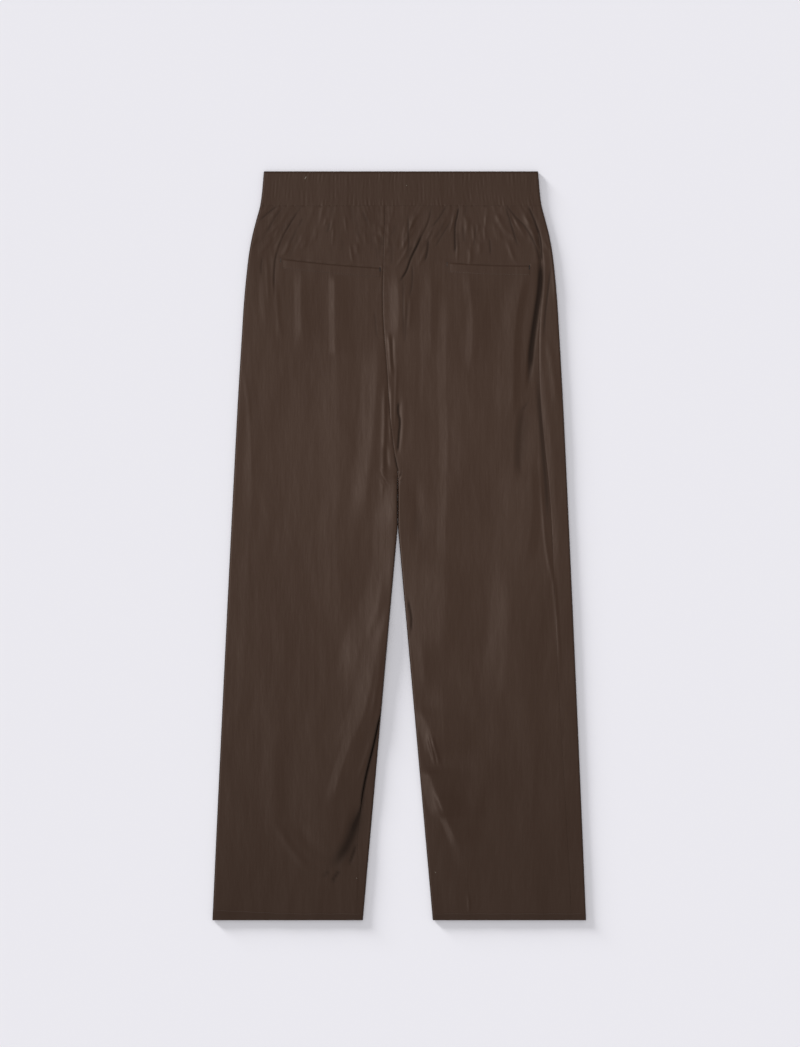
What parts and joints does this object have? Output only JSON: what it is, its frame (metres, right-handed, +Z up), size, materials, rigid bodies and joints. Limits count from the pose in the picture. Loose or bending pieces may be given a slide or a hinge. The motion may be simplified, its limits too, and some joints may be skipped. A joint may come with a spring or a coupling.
{
  "type": "trousers",
  "caption": "Pull-on wide straight-leg trousers with a gathered elastic waistband and back welt pockets, lying flat with the back uppermost.",
  "frame": {"origin": "on the surface the trousers lie on, under the middle of their bounding box", "axes": "+Y from the hems to the waistband, +X to the right as seen on the back, +Z up off the surface, out of the back"},
  "size_m": [0.5224, 1.048, 0.0082],
  "materials": {
    "satin": "dull dark brown satin, smooth, with a soft sheen"
  },
  "bodies": {
    "root": {"waistband_back": "satin", "waistband_front": "satin", "back_left": "satin", "back_right": "satin", "front_left": "satin", "front_right": "satin", "welt_left": "satin", "welt_right": "satin"}
  },
  "joints": []
}
